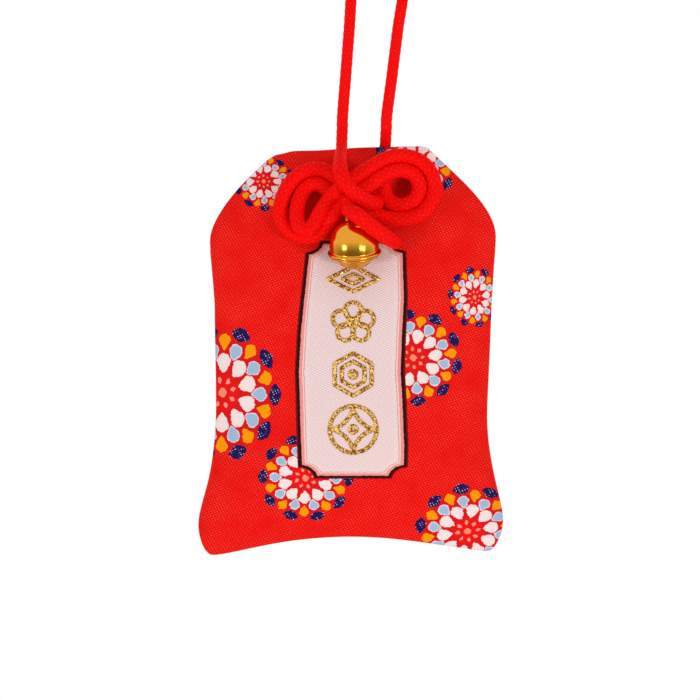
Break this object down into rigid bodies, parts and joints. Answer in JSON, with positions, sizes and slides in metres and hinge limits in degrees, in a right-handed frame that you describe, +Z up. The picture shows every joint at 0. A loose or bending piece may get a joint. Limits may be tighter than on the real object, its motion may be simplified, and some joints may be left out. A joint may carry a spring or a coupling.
{
  "type": "omamori charm",
  "caption": "Red brocade omamori pouch hung on a cord loop, tied in front with a bow of cord, with a gold jingle bell under the bow",
  "frame": {"origin": "middle of the cord at the top of the hanging loop", "axes": "+Z up along the hanging cord, -Y out of the front of the pouch, +X to the right in the picture"},
  "size_m": [0.0566, 0.0168, 0.1108],
  "materials": {
    "cord": "braided silky cord",
    "brocade": "figured satin brocade",
    "lining": "stiff plain weave",
    "thread": "sewing thread",
    "wadding": "soft cotton wadding",
    "card": "uncoated",
    "paper": "folded plain paper",
    "tablet": "planed",
    "bell_gold": "gold plated and polished",
    "pellet": "tumbled"
  },
  "bodies": {
    "loop": {"hanging_loop": "cord"},
    "pouch": {"front_panel": "brocade", "back_panel": "brocade", "front_lining": "lining", "back_lining": "lining", "seam_thread": "thread", "wadding_pad": "wadding", "stiffener_card": "card", "paper_wrap": "paper", "inner_tablet": "tablet", "bow_knot": "cord", "hem_cord": "cord"},
    "bell": {"bell_upper_shell": "bell_gold", "bell_lower_shell": "bell_gold", "bell_shank": "bell_gold"},
    "pellet": {"bell_pellet": "pellet"}
  },
  "joints": [
    {"name": "pouch_swing", "type": "hinge", "parent": "loop", "child": "pouch", "pos_m": [0, 0, -0.0298], "axis": [1, 0, 0], "range_deg": [-70, 70]},
    {"name": "bell_swing", "type": "hinge", "parent": "pouch", "child": "bell", "pos_m": [-0.00474, -0.00862, -0.04735], "axis": [1, 0, 0], "range_deg": [0, 6]},
    {"name": "pellet_rattle", "type": "slide", "parent": "bell", "child": "pellet", "axis": [0, 0, 1], "range_m": [0, 0.0046]}
  ]
}
